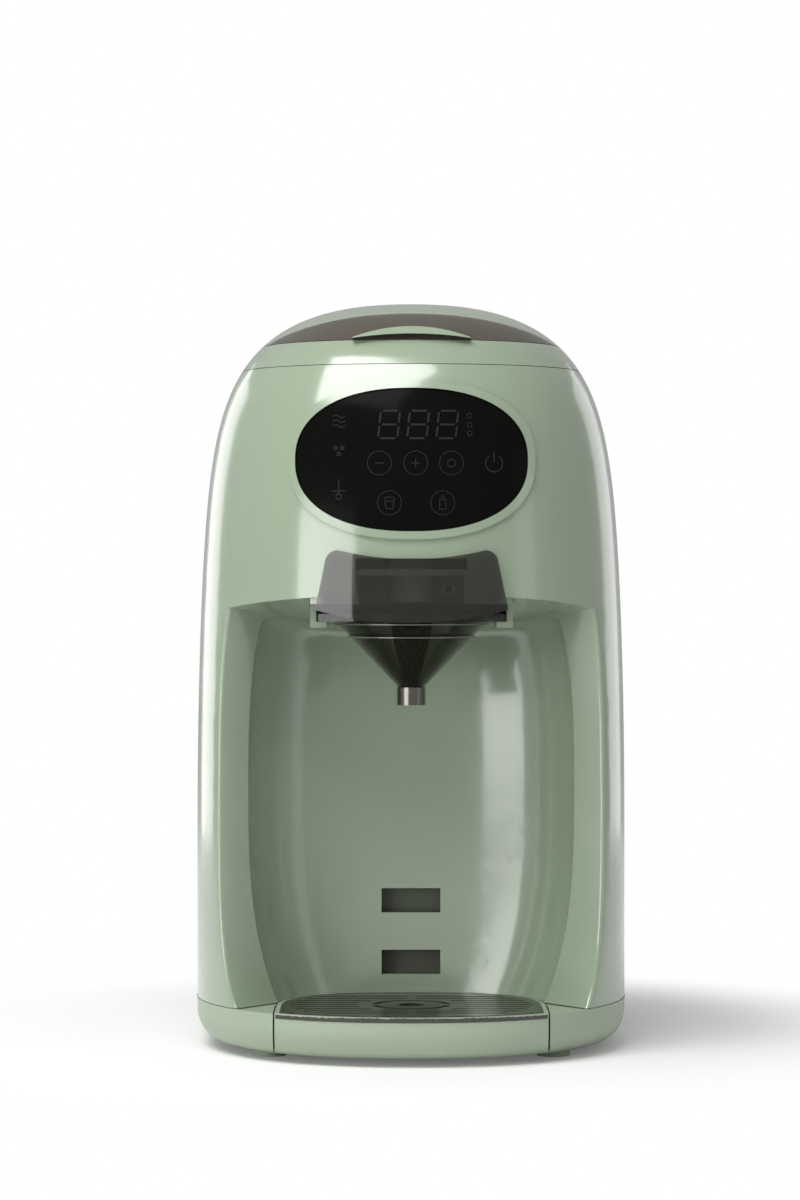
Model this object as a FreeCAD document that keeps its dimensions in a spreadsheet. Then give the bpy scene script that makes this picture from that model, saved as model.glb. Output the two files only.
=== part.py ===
import FreeCAD, Part
import math
import os
import re

# Countertop baby formula maker: arched glossy housing on a separate base ring, a bottle niche
# with a drip tray, a smoked powder funnel under the nose, a domed powder lid and a rear tank.
# Front faces -Y, up is +Z, origin at the middle of the footprint on the table.

V = FreeCAD.Vector
doc = FreeCAD.newDocument("FormulaMaker")
sheet = doc.addObject("Spreadsheet::Sheet", "Sizes")

# Driving dimensions, in millimetres, degrees and counts
SIZES = {
    "half_width": 105.0, "front_depth": 110.0, "rear_depth": 190.0, "plan_center": -40.0,
    "crown_height": 362.5, "crown_start": 20.0, "side_taper": 0.1134, "taper_start": 100.0,
    "taper_height": 260.0, "wall": 2.5, "seam_gap": 0.3, "slide_gap": 0.8,
    "foot_height": 3.5, "base_height": 24.0, "base_round": 14.5, "base_floor": 2.5,
    "collar_low": 329.0, "collar_high": 341.0, "deck_thick": 3.0,
    "niche_width": 91.7, "niche_inner": 79.2, "niche_mid": 128.0, "niche_rear": -42.0,
    "niche_widest": -100.0, "lip_rear": -87.0, "lip_front": -98.5, "niche_foot": 64.4,
    "roof_rear": 205.0, "roof_slope": 8.4, "lip_fillet": 1.6, "corner_fillet": 9.0,
    "slot_width": 29.0, "slot_height": 12.0, "slot_low": 39.0, "slot_pitch": 30.4,
    "slot_depth": 9.0, "slot_wall": 1.6,
    "panel_half_width": 54.4, "panel_half_height": 33.4, "panel_height": 283.8,
    "panel_proud": 0.5, "panel_thick": 2.4, "bezel_width": 4.0, "bezel_proud": 1.3,
    "board_thick": 1.6, "display_width": 46.0, "display_height": 18.0, "display_depth": 7.0,
    "touch_radius": 4.0, "touch_pitch": 17.0,
    "dose_center": -58.0, "dose_radius": 51.0, "dose_pitch": 40.0, "dose_low": 250.0,
    "dose_thick": 8.0, "dose_pocket": 7.5, "dose_pockets": 12, "plate_thick": 3.4,
    "spindle_radius": 4.0, "shaft_fit": 0.05, "running_gap": 0.4, "stirrer_reach": 38.0,
    "stirrer_radius": 2.2, "stirrer_levels": 3, "stirrer_pitch": 17.0,
    "gear_module": 1.0, "wheel_teeth": 52, "pinion_teeth": 13, "gear_thick": 5.0,
    "gear_low": 239.6, "motor_radius": 13.0, "motor_length": 22.0, "motor_shaft": 1.5,
    "hopper_top_x": 60.0, "hopper_top_y": 62.0, "hopper_top_center": -34.0,
    "hopper_top": 340.5, "hopper_wall": 2.0,
    "chute_radius": 9.0, "chute_wall": 1.4, "chute_low": 217.0,
    "block_half": 47.6, "mouth_half": 26.0, "mouth_low": 216.2, "mouth_high": 237.5,
    "block_high": 232.5, "block_rear": -62.0, "rail_width": 7.6, "rail_top": 207.8,
    "rail_thick": 2.8, "flange_half": 43.6, "flange_low": 208.1, "flange_thick": 3.6,
    "funnel_radius": 36.8, "funnel_low": 176.3, "funnel_mouth": 6.2, "funnel_wall": 1.8,
    "nozzle_radius": 6.8, "nozzle_low": 167.7, "rail_front": -128.0,
    "cover_top_half": 40.6, "cover_low_half": 45.2, "cover_corner_top": 241.4,
    "cover_mid_top": 237.2, "cover_corner_low": 213.5, "cover_mid_low": 207.6,
    "cover_gap": 0.6, "cover_wall": 2.6, "spout_radius": 3.0, "spout_wall": 1.0,
    "spout_across": 18.0, "spout_height": 223.0,
    "tray_floor": 2.2, "tray_wall": 2.2, "ledge": 2.6, "grille_thick": 2.6,
    "grille_slot": 2.4, "grille_pitch": 8.5, "grille_proud": 0.3, "tray_low": 3.9, "tray_skirt": -120.0,
    "bay_half": 74.0, "bay_front": 80.0, "bay_floor": 40.0, "tank_wall": 2.5, "tank_gap": 0.8,
    "tank_top": 312.0, "tank_lift": 0.6, "valve_radius": 9.0,
    "valve_bore": 4.0, "valve_rod": 2.0, "valve_head": 6.5, "valve_y": 100.0,
    "tank_lid_plug": 6.0,
    "lid_rear": 47.0, "channel_rear": 62.0, "hinge_y": 53.0, "hinge_z": 346.0,
    "pin_radius": 1.5, "knuckle_radius": 3.3, "ear_in": 30.0, "ear_width": 6.0,
    "pin_reach": 45.0, "window_rim": 7.5, "grip_half": 28.0, "grip_high": 347.6,
    "grip_proud": 3.2,
    "pump_radius": 19.0, "pump_length": 52.0, "pump_x": -48.0, "pump_y": 15.0, "pump_z": 50.0,
    "heater_radius": 21.0, "heater_length": 110.0, "heater_x": 46.0, "heater_low": 62.0,
    "hose_radius": 4.0, "hose_bore": 2.5, "power_width": 78.0, "power_height": 92.0,
    "power_low": 120.0, "inlet_half": 12.0, "inlet_height": 10.0, "inlet_depth": 22.0, "inlet_rear": 150.0,
    "foot_radius": 8.0, "channel_drop": 2.6,
}
for row, (alias, value) in enumerate(SIZES.items(), start=1):
    sheet.set("A%d" % row, alias)
    sheet.set("B%d" % row, str(value))
    sheet.setAlias("B%d" % row, alias)
doc.recompute()
WORD = re.compile(r"[a-z_]{3,}")


def linked(text):
    """An expression on the sheet, from words that are its aliases."""
    return WORD.sub(lambda word: "Sizes." + word.group(0) if word.group(0) in SIZES else word.group(0), text)


def size(text):
    """The value of an expression on the sheet."""
    return float(sheet.evalExpression(linked(text)))


def bind(item, **properties):
    """Bind properties of a document object to expressions on the sheet."""
    for name, text in properties.items():
        item.setExpression(name.replace("__", "."), linked(str(text)))
    return item


def box(name, x, y, z):
    """A box from (low, high) expressions along each axis."""
    item = doc.addObject("Part::Box", name)
    spans = {"Length": x, "Width": y, "Height": z}
    for side, (low, high) in spans.items():
        item.setExpression(side, linked("(%s) - (%s)" % (high, low)))
    for axis, (low, high) in zip("xyz", (x, y, z)):
        item.setExpression("Placement.Base." + axis, linked("(%s) * 1" % low))
    return item


def rod(name, radius, low, high, x="0", y="0", axis="Z"):
    """A cylinder between two expressions along an axis; x and y are its place across."""
    item = doc.addObject("Part::Cylinder", name)
    bind(item, Radius=radius, Height="(%s) - (%s)" % (high, low))
    turns = {"Z": (V(0, 0, 1), 0), "X": (V(0, 1, 0), 90), "Y": (V(1, 0, 0), -90)}
    item.Placement.Rotation = FreeCAD.Rotation(*turns[axis])
    bases = {"Z": (x, y, low), "X": (low, x, y), "Y": (x, low, y)}[axis]
    for letter, text in zip("xyz", bases):
        item.setExpression("Placement.Base." + letter, linked("(%s) * 1" % text))
    return item


def solid(name, shape):
    """A free-form solid that primitives can't give."""
    item = doc.addObject("Part::Feature", name)
    item.Shape = shape
    return item


def fuse(name, *items):
    item = doc.addObject("Part::MultiFuse", name)
    item.Shapes = list(items)
    return item


def cut(name, base, *tools):
    item = doc.addObject("Part::Cut", name)
    item.Base = base
    item.Tool = tools[0] if len(tools) == 1 else fuse(name + "_tools", *tools)
    return item


nodes = []


def node(name, item):
    """Name a finished sub-part after the real piece; its label names its file."""
    item.Label = name
    nodes.append(item)
    return item


def group(name, *items):
    """Alike separate solids that share one node."""
    item = doc.addObject("Part::Compound", name + "_group")
    item.Links = list(items)
    return node(name, item)


# Casing: horizontal superellipse sections that shrink into the crown
FRONT_POWER = 2.2
REAR_POWER = 3.0
SECTION_POINTS = 72
CROWN_STATIONS = (0.62, 0.68, 0.74, 0.79, 0.836, 0.874, 0.905, 0.93, 0.9495, 0.9643,
                  0.9755, 0.9842, 0.991, 0.9955, 0.9979, 0.999)
LOW_STATIONS = (0.0, 0.05, 0.1, 0.16, 0.22, 0.28, 0.34, 0.4, 0.46, 0.54)


def rounded(angle, half_x, front, rear, center, height):
    """Point of a plan section: one superellipse in front, a squarer one behind."""
    across = math.cos(angle)
    along = math.sin(angle)
    power = FRONT_POWER if along < 0 else REAR_POWER
    reach = front if along < 0 else rear
    return V(half_x * math.copysign(abs(across) ** (2 / power), across),
             center + reach * math.copysign(abs(along) ** (2 / power), along), height)


def section_sizes(height, inset):
    top = size("crown_height") - inset
    rise = min(max((height - size("crown_start")) / (top - size("crown_start")), 0), 0.99999)
    taper = size("side_taper") * max((height - size("taper_start")) / size("taper_height"), 0) ** 2.23
    side = (1 - rise ** 12) ** (1 / 2.43) * (1 - taper)
    back = (1 - rise ** 8) ** (1 / 2.2)
    return ((size("half_width") - inset) * side, (size("front_depth") - inset) * side,
            (size("rear_depth") - inset) * back)


def section_wire(height, inset, extra=0.0):
    half_x, front, rear = section_sizes(height, inset)
    angles = [math.pi / 2 + 2 * math.pi * step / SECTION_POINTS for step in range(SECTION_POINTS)]
    points = [rounded(angle, half_x - extra, front - extra, rear - extra, size("plan_center"), height)
              for angle in angles]
    curve = Part.BSplineCurve()
    curve.interpolate(Points=points, PeriodicFlag=True,
                      Parameters=[step / SECTION_POINTS for step in range(SECTION_POINTS + 1)])
    return Part.Wire([curve.toShape()])


def casing_shape(inset):
    """The whole outer form, or the same form drawn in by an inset."""
    top = size("crown_height") - inset
    heights = [share * top for share in LOW_STATIONS + CROWN_STATIONS]
    return Part.makeLoft([section_wire(height, inset) for height in heights], True, False)


def base_shape(inset):
    """The base ring's outer form: casing section with a rounded lower edge."""
    low = size("foot_height")
    radius = size("base_round")
    wires = []
    for step in range(9):
        angle = math.pi / 2 * step / 8
        height = low + radius * (1 - math.cos(angle))
        wires.append(section_wire(height, inset, radius * (1 - math.sin(angle)) * 0.8))
    for height in (size("base_height") - 3, size("base_height") + 2):
        wires.append(section_wire(height, inset))
    return Part.makeLoft(wires, True, False)


def curve_through(points):
    curve = Part.BSplineCurve()
    curve.interpolate(points)
    return curve.toShape()


def niche_wire(height, grow):
    """Plan section of the niche: curved back wall and two bevelled lips that open outwards."""
    lift = abs(height - size("niche_mid"))
    inner = size("niche_inner") - 13.5 * (lift / 102) ** 3 + grow
    outer = size("niche_width") - 4.4 * (lift / 68) ** 3.4 + grow
    outer = max(outer, inner + 2.0)
    widest = size("niche_widest")
    depth = size("niche_rear") - widest + grow
    start = math.asin(((size("lip_rear") - widest) / depth) ** 1.25)
    points = []
    for step in range(25):
        angle = start + (math.pi - 2 * start) * step / 24
        across = math.cos(angle)
        points.append(V(inner * math.copysign(abs(across) ** 0.8, across),
                        widest + depth * math.sin(angle) ** 0.8, height))
    right, left = points[0], points[-1]
    reach = 10.0
    slope_x = (outer - right.x) * reach
    slope_y = (size("lip_front") - right.y) * reach
    front_right = V(right.x + slope_x, right.y + slope_y, height)
    front_left = V(-front_right.x, front_right.y, height)
    return Part.Wire([curve_through(points), Part.LineSegment(left, front_left).toShape(),
                      Part.LineSegment(front_left, front_right).toShape(),
                      Part.LineSegment(front_right, right).toShape()])


def niche_shape(grow):
    """The bottle niche as a solid, under a roof that rises to the front."""
    heights = [8, 16, 24, 34, 46, 62, 84, 106, 128, 150, 172, 194, 212, 226, 238]
    body = Part.makeLoft([niche_wire(height, grow) for height in heights], True, False)
    roof = Part.makeBox(400, 400, 80, V(-200, -400, 0))
    roof.rotate(V(0, 0, 0), V(1, 0, 0), -size("roof_slope"))
    roof.translate(V(0, size("niche_rear"), size("roof_rear") + grow))
    return body.cut(roof)


def oval_prism(grow, front, rear):
    """The control panel's outline carried along Y."""
    points = []
    for step in range(48):
        angle = 2 * math.pi * step / 48
        across, up = math.cos(angle), math.sin(angle)
        points.append(V((size("panel_half_width") + grow) * math.copysign(abs(across) ** (2 / 2.3), across),
                        front,
                        size("panel_height")
                        + (size("panel_half_height") + grow) * math.copysign(abs(up) ** (2 / 2.3), up)))
    curve = Part.BSplineCurve()
    curve.interpolate(Points=points, PeriodicFlag=True)
    return Part.Face(Part.Wire([curve.toShape()])).extrude(V(0, rear - front, 0))


def tray_plan(grow, low, high):
    """The drip tray's plan: straight sides and a bowed back, carried up from low to high."""
    half = size("niche_foot") + grow
    widest = size("niche_widest")
    depth = size("niche_rear") - widest + grow - size("slide_gap")
    points = []
    for step in range(25):
        angle = math.pi * step / 24
        across = math.cos(angle)
        points.append(V(half * math.copysign(abs(across) ** 0.8, across),
                        widest + depth * math.sin(angle) ** 0.8, low))
    front = size("plan_center - front_depth") - 10
    corners = [V(-half, front, low), V(half, front, low)]
    wire = Part.Wire([curve_through(points), Part.LineSegment(points[-1], corners[0]).toShape(),
                      Part.LineSegment(corners[0], corners[1]).toShape(),
                      Part.LineSegment(corners[1], points[0]).toShape()])
    return Part.Face(wire).extrude(V(0, 0, high - low))


def slab(low, high, front=-400.0, rear=400.0, half=400.0):
    """A plain cutting block."""
    return Part.makeBox(2 * half, rear - front, high - low, V(-half, front, low))


def crease(shape, radius, wanted):
    """Round the edges that a test picks, if the kernel can."""
    edges = [edge for edge in shape.Edges if wanted(edge)]
    if not edges:
        return shape
    try:
        result = shape.makeFillet(radius, edges)
    except Exception:
        print("no fillet of", radius)
        return shape
    if result.isValid():
        return result
    print("bad fillet of", radius)
    return shape


wall = size("wall")
outer = casing_shape(0.0)
inner = casing_shape(wall)
inlet_low = size("base_height") + 2.2
inlet_room = slab(inlet_low, inlet_low + size("inlet_height"), size("inlet_rear - inlet_depth"), 200, size("inlet_half"))
niche = niche_shape(0.0)
niche_back = niche_shape(wall)
bay = slab(size("bay_floor"), 400, size("bay_front"), 400, size("bay_half"))

# Housing: one glossy moulding, arch outside and bottle niche inside
hull = outer.common(slab(size("base_height"), size("collar_low")))
hull = hull.cut(niche)
hull = crease(hull, size("corner_fillet"),
              lambda e: e.BoundBox.ZMin > 190 and e.BoundBox.YMax > -60 and e.BoundBox.ZMax < 230)
hull = crease(hull, size("lip_fillet"),
              lambda e: e.BoundBox.ZLength > 120 and e.BoundBox.YMin < -95
              and e.BoundBox.YMin > -140 and e.BoundBox.ZMax < 240)
void = inner.common(slab(0, 400)).cut(niche_back)
nose_half = size("block_half") + 0.6
nose_rear = size("block_rear") + 4
nose_cut = slab(195, size("mouth_low"), -170, nose_rear, nose_half)
roof_cut = inner.common(slab(195, size("block_high + seam_gap"), -170, nose_rear, nose_half))
mouth_cut = slab(size("mouth_low") - 1, size("mouth_high"), -170, -120, size("mouth_half"))
panel_hole = oval_prism(size("seam_gap"), -170, -100)
slots = []
for index in range(2):
    low = size("slot_low") + index * size("slot_pitch") - size("slot_height") / 2
    slots.append(slab(low, low + size("slot_height"), -60, -20, size("slot_width") / 2))
shell = hull.cut(void).cut(bay).cut(nose_cut).cut(roof_cut).cut(mouth_cut).cut(panel_hole)
for slot in slots:
    shell = shell.cut(slot)
shell = shell.cut(inlet_room)
front_shell = shell.common(slab(0, 400, -400, size("bay_front - seam_gap")))
body_shell = node("body_shell", solid("body_shell_form", front_shell))
print("body_shell solids", len(front_shell.Solids), "valid", front_shell.isValid())

# Rear cover: the two wings beside the tank and the wall under it, behind a fine upright seam
rear_cover = shell.common(slab(0, 400, size("bay_front")))
node("rear_cover", solid("rear_cover_form", rear_cover))
print("rear_cover solids", len(rear_cover.Solids), "valid", rear_cover.isValid())

# Two blind sockets behind the niche wall take the tray's hooks
sockets = []
for index in range(2):
    mid = "slot_low + %d * slot_pitch" % index
    outside = box("socket_out_%d" % index, ("-slot_width / 2 - slot_wall", "slot_width / 2 + slot_wall"),
                  ("niche_rear + wall + seam_gap", "niche_rear + wall + slot_depth"),
                  (mid + " - slot_height / 2 - slot_wall", mid + " + slot_height / 2 + slot_wall"))
    inside = box("socket_in_%d" % index, ("-slot_width / 2", "slot_width / 2"),
                 ("niche_rear", "niche_rear + wall + slot_depth - slot_wall"),
                 (mid + " - slot_height / 2", mid + " + slot_height / 2"))
    sockets.append(cut("socket_%d" % index, outside, inside))
group("tray_hook_sockets", *sockets)

# Base pan: satin ring with a floor and a bay for the drip tray
base_out = base_shape(0.0)
base_in = base_shape(wall)
ring = base_out.common(slab(size("foot_height"), size("base_height") - size("seam_gap")))
hollow = base_in.common(slab(size("foot_height + base_floor"), 60))
tray_wall_out = tray_plan(size("slide_gap + wall"), size("foot_height"),
                          size("base_height - seam_gap - channel_drop"))
floor_top = size("foot_height + base_floor")
skirt_rear = size("tray_skirt")
tray_room = tray_plan(size("slide_gap"), floor_top, 60)
skirt_room = tray_plan(size("slide_gap"), 0, 60).common(slab(0, 60, -400, skirt_rear + size("slide_gap")))
pan = ring.cut(hollow).fuse(tray_wall_out.common(base_out)).cut(tray_room).cut(skirt_room)
base_pan = node("base_pan", solid("base_pan_form", pan))
print("base_pan solids", len(pan.Solids), pan.isValid())

# Drip tray: shallow dish whose front carries on the base ring's form
tray_base = base_out.common(tray_plan(0.0, size("tray_low"), size("base_height")))
tray_under = floor_top + size("seam_gap")
tray_base = tray_base.cut(slab(0, tray_under, skirt_rear))
dish_deep = base_shape(size("tray_wall + ledge")).common(
    tray_plan(-size("tray_wall + ledge"), tray_under + size("tray_floor"), 60))
dish_top = base_shape(size("tray_wall")).common(
    tray_plan(-size("tray_wall"), size("base_height + grille_proud - grille_thick - seam_gap"), 60))
tray = tray_base.cut(dish_deep).cut(dish_top)
node("drip_tray", solid("drip_tray_form", tray))
print("tray solids", len(tray.Solids), tray.isValid())

# Grille: smoked plate with long slots and a ringed centre, dropped in the tray's ledge
grille = base_shape(size("tray_wall + seam_gap")).common(
    tray_plan(-size("tray_wall + seam_gap"), size("base_height + grille_proud - grille_thick"),
              size("base_height + grille_proud")))
dish_center = size("dose_center - dose_pitch")
for index in range(-4, 5):
    y = dish_center + index * size("grille_pitch")
    half_slot = size("grille_slot") / 2
    inner_x = math.sqrt(max(24.0 ** 2 - (y - dish_center) ** 2, 0)) + 2
    outer_x = 58.0 - 0.011 * (y - dish_center) ** 2
    for side in (-1, 1):
        middle = side * (inner_x + outer_x) / 2
        length = outer_x - inner_x
        grille = grille.cut(Part.makeBox(length, 2 * half_slot, 20, V(middle - length / 2, y - half_slot, 10)))
centre_ring = Part.makeCylinder(19, 20, V(0, dish_center, 10)).cut(
    Part.makeCylinder(16, 20, V(0, dish_center, 10)))
centre_ring = centre_ring.cut(Part.makeBox(44, 5, 20, V(-22, dish_center - 2.5, 10)))
grille = grille.cut(centre_ring).cut(Part.makeCylinder(6, 20, V(0, dish_center, 10)))
node("tray_grille", solid("tray_grille_form", grille))
print("grille solids", len(grille.Solids), grille.isValid())

# Top collar: fixed ring under the lid, the deck round the hopper and the hinge bridge
collar_low = size("collar_low + seam_gap")
collar = outer.common(slab(collar_low, size("collar_high")))
collar = collar.cut(inner.common(slab(0, size("collar_high - deck_thick"))))


def hopper_wire(height, half_x, half_y, center):
    points = []
    for step in range(48):
        angle = 2 * math.pi * step / 48
        across, along = math.cos(angle), math.sin(angle)
        power = 2 / 3.2 if height > size("dose_low") + 40 else 1.0
        points.append(V(half_x * math.copysign(abs(across) ** power, across),
                        center + half_y * math.copysign(abs(along) ** power, along), height))
    curve = Part.BSplineCurve()
    curve.interpolate(Points=points, PeriodicFlag=True,
                      Parameters=[step / 48 for step in range(49)])
    return Part.Wire([curve.toShape()])


top_x, top_y = size("hopper_top_x"), size("hopper_top_y")
top_center = size("hopper_top_center")
hopper_hole = Part.Face(hopper_wire(collar_low, top_x + 0.5, top_y + 0.5, top_center)).extrude(V(0, 0, 40))
bridge = outer.common(slab(size("collar_high") - 1, 400, size("channel_rear"), size("bay_front - seam_gap")))
collar = collar.cut(hopper_hole).fuse(bridge).cut(bay)
hinge_y, hinge_z = size("hinge_y"), size("hinge_z")
ear_in, ear_width = size("ear_in"), size("ear_width")
pin_bore = Part.makeCylinder(size("pin_radius + shaft_fit"), 200, V(-100, hinge_y, hinge_z), V(1, 0, 0))
for low_x in (ear_in, -ear_in - ear_width):
    ear = Part.makeBox(ear_width, 7.2, hinge_z + 2.8 - size("collar_high") + 1,
                       V(low_x, hinge_y - 3.6, size("collar_high") - 1))
    collar = collar.fuse(ear.cut(pin_bore))
node("top_collar", solid("top_collar_form", collar))
print("collar", len(collar.Solids), collar.isValid())
node("lid_pin", rod("lid_pin_rod", "pin_radius", "-pin_reach", "pin_reach", "hinge_y", "hinge_z", "X"))

# Powder lid: domed frame behind, smoked window in front, pale finger grip at the middle
lid_low = size("collar_high + seam_gap")
dome = outer.common(slab(lid_low, 400, -400, size("lid_rear"))).cut(
    inner.common(slab(0, 400, -400, size("lid_rear - wall"))))
rim = size("window_rim")
arch_points = []
arch_half = section_sizes(lid_low, 0.0)[0] - 2.0
arch_top = size("crown_height") - rim
for step in range(-10, 11):
    share = step / 10
    arch_points.append(V(arch_half * share, -400,
                         lid_low - 1 + (arch_top - lid_low + 1) * (1 - abs(share) ** 2.15) ** 0.85))
arch = Part.Wire([curve_through(arch_points),
                  Part.LineSegment(arch_points[-1], arch_points[0]).toShape()])
arch_block = Part.Face(arch).extrude(V(0, 400 + size("plan_center") - 6, 0))
window = dome.common(arch_block)
frame = dome.cut(arch_block)
knuckle = size("knuckle_radius")
arm_low = ear_in + ear_width + size("seam_gap")
arm_length = size("pin_reach") - 1 - arm_low
for low_x in (arm_low, -arm_low - arm_length):
    arm = Part.makeBox(arm_length, hinge_y - size("lid_rear - wall"), 2 * knuckle,
                       V(low_x, size("lid_rear - wall"), hinge_z - knuckle))
    arm = arm.fuse(Part.makeCylinder(knuckle, arm_length, V(low_x, hinge_y, hinge_z), V(1, 0, 0)))
    frame = frame.fuse(arm.cut(pin_bore))
node("lid_frame", solid("lid_frame_form", frame))
node("lid_window", solid("lid_window_form", window))
grip_out = casing_shape(-size("grip_proud")).common(slab(lid_low + 0.5, size("grip_high"), -400, -90))
grip_points = []
for step in range(-8, 9):
    share = step / 8
    grip_points.append(V(size("grip_half") * share, -400,
                         size("grip_high") - (size("grip_high") - lid_low - 1.0) * share ** 2))
grip_low = [V(size("grip_half") * share / 8, -400, lid_low + 2.6 - 2.0 * (share / 8) ** 2)
            for share in range(8, -9, -1)]
grip_wire = Part.Wire([curve_through(grip_points),
                       Part.LineSegment(grip_points[-1], grip_low[0]).toShape(), curve_through(grip_low),
                       Part.LineSegment(grip_low[-1], grip_points[0]).toShape()])
grip_block = Part.Face(grip_wire).extrude(V(0, 310, 0))
grip = grip_out.common(grip_block).cut(outer)
node("lid_grip", solid("lid_grip_form", grip))
print("lid solids", len(frame.Solids), len(window.Solids), len(grip.Solids))

# Powder hopper: funnel-shaped bin that narrows to the dosing wheel
bin_floor = size("dose_low - running_gap")
hopper_low_radius = size("dose_radius + running_gap + hopper_wall")
hopper_stack = ((size("hopper_top"), top_x, top_y, top_center), (320, top_x, top_y, top_center),
                (size("dose_low + dose_thick") + 14, hopper_low_radius, hopper_low_radius, size("dose_center")),
                (bin_floor, hopper_low_radius, hopper_low_radius, size("dose_center")))
thin = size("hopper_wall")
outside = Part.makeLoft([hopper_wire(h, x, y, c) for h, x, y, c in hopper_stack], True, True)
inside = Part.makeLoft([hopper_wire(h, x - thin, y - thin, c) for h, x, y, c in hopper_stack], True, True)
hopper = outside.cut(inside)
node("powder_hopper", solid("powder_hopper_form", hopper))
print("hopper", len(hopper.Solids), hopper.isValid())

# Dosing plate under the wheel, with the outlet over the chute
plate_disc = rod("plate_disc", "dose_radius + running_gap + hopper_wall + 2", "dose_low - running_gap - plate_thick",
                 "dose_low - running_gap - seam_gap", "0", "dose_center")
plate_outlet = rod("plate_outlet", "chute_radius", "dose_low - 10", "dose_low + 10", "0",
                   "dose_center - dose_pitch")
plate_bore = rod("plate_bore", "spindle_radius + shaft_fit", "dose_low - 20", "dose_low + 20", "0", "dose_center")
node("dosing_plate", cut("dosing_plate_cut", plate_disc, plate_outlet, plate_bore))

# Dosing wheel: a ring of powder pockets carried round over the outlet
wheel_disc = rod("wheel_disc", "dose_radius", "dose_low", "dose_low + dose_thick", "0", "dose_center")
wheel_bore = rod("wheel_bore", "spindle_radius", "dose_low - 5", "dose_low + 20", "0", "dose_center")
pockets = []
for index in range(int(size("dose_pockets"))):
    turn = 2 * math.pi * (index + 0.5) / int(size("dose_pockets")) - math.pi / 2
    pockets.append(rod("pocket_%d" % index, "dose_pocket", "dose_low - 5", "dose_low + 20",
                       "dose_pitch * %.6f" % math.cos(turn), "dose_center + dose_pitch * %.6f" % math.sin(turn)))
node("dosing_wheel", cut("dosing_wheel_cut", wheel_disc, wheel_bore, *pockets))

# Drive spindle, stirrer and the gear pair under the plate
stirrer_top = "dose_low + dose_thick + 8 + stirrer_levels * stirrer_pitch"
node("drive_spindle", rod("drive_spindle_rod", "spindle_radius", "gear_low - 4", stirrer_top, "0", "dose_center"))
stirrer_parts = [cut("stirrer_hub", rod("stirrer_hub_out", "spindle_radius + 2.5",
                                        "dose_low + dose_thick + 1", stirrer_top, "0", "dose_center"),
                     rod("stirrer_hub_in", "spindle_radius", "dose_low", stirrer_top + " + 1", "0",
                         "dose_center"))]
for index in range(int(size("stirrer_levels"))):
    level = "dose_low + dose_thick + 8 + %d * stirrer_pitch" % index
    for side in (-1, 1):
        start = "spindle_radius + 1" if side > 0 else "-stirrer_reach + %d * 4" % (2 - index)
        end = "stirrer_reach - %d * 4" % (2 - index) if side > 0 else "-spindle_radius - 1"
        stirrer_parts.append(rod("stirrer_arm_%d_%d" % (index, side + 1), "stirrer_radius", start, end,
                                 "dose_center", level, "X"))
node("powder_stirrer", fuse("stirrer_fuse", *stirrer_parts))


def gear_face(teeth, turn):
    """Straight-flanked spur teeth on module pitch, thinned for backlash."""
    module = size("gear_module")
    pitch = module * teeth / 2
    step = 2 * math.pi / teeth
    corners = []
    for index in range(teeth):
        middle = index * step + turn
        for radius, share in ((pitch - 1.2 * module, -0.34), (pitch, -0.22), (pitch + 0.85 * module, -0.12),
                              (pitch + 0.85 * module, 0.12), (pitch, 0.22), (pitch - 1.2 * module, 0.34)):
            corners.append(V(radius * math.cos(middle + share * step), radius * math.sin(middle + share * step), 0))
    return Part.Face(Part.makePolygon(corners + corners[:1]))


wheel_teeth, pinion_teeth = int(size("wheel_teeth")), int(size("pinion_teeth"))
gear_distance = size("gear_module") * (wheel_teeth + pinion_teeth) / 2 + 0.15
gear_y = size("dose_center") + gear_distance
gear_shape = gear_face(wheel_teeth, math.pi / 2).extrude(V(0, 0, size("gear_thick")))
gear_shape.translate(V(0, size("dose_center"), size("gear_low")))
gear_shape = gear_shape.cut(Part.makeCylinder(size("spindle_radius"), 30, V(0, size("dose_center"), size("gear_low") - 5)))
node("spindle_gear", solid("spindle_gear_form", gear_shape))
pinion_shape = gear_face(pinion_teeth, -math.pi / 2 + math.pi / pinion_teeth).extrude(V(0, 0, size("gear_thick")))
pinion_shape.translate(V(0, gear_y, size("gear_low")))
pinion_shape = pinion_shape.cut(Part.makeCylinder(size("motor_shaft"), 30, V(0, gear_y, size("gear_low") - 5)))
node("motor_pinion", solid("motor_pinion_form", pinion_shape))
gear_place = "dose_center + gear_module * (wheel_teeth + pinion_teeth) / 2 + 0.15"
node("motor_shaft", rod("motor_shaft_rod", "motor_shaft", "gear_low - 8", "gear_low + gear_thick + 0.6", "0", gear_place))
motor_can = rod("motor_can", "motor_radius", "gear_low - 2 - motor_length", "gear_low - 2", "0", gear_place)
motor_bore = rod("motor_bore", "motor_shaft + shaft_fit", "gear_low - 8", "gear_low", "0", gear_place)
node("dosing_motor", cut("dosing_motor_cut", motor_can, motor_bore))

# Powder chute: tube from the plate's outlet down into the funnel
chute_out = rod("chute_out", "chute_radius + chute_wall", "chute_low", "dose_low - running_gap - plate_thick - 0.2",
                "0", "dose_center - dose_pitch")
chute_in = rod("chute_in", "chute_radius", "chute_low - 5", "dose_low + 5", "0", "dose_center - dose_pitch")
node("powder_chute", cut("powder_chute_cut", chute_out, chute_in))

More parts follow.
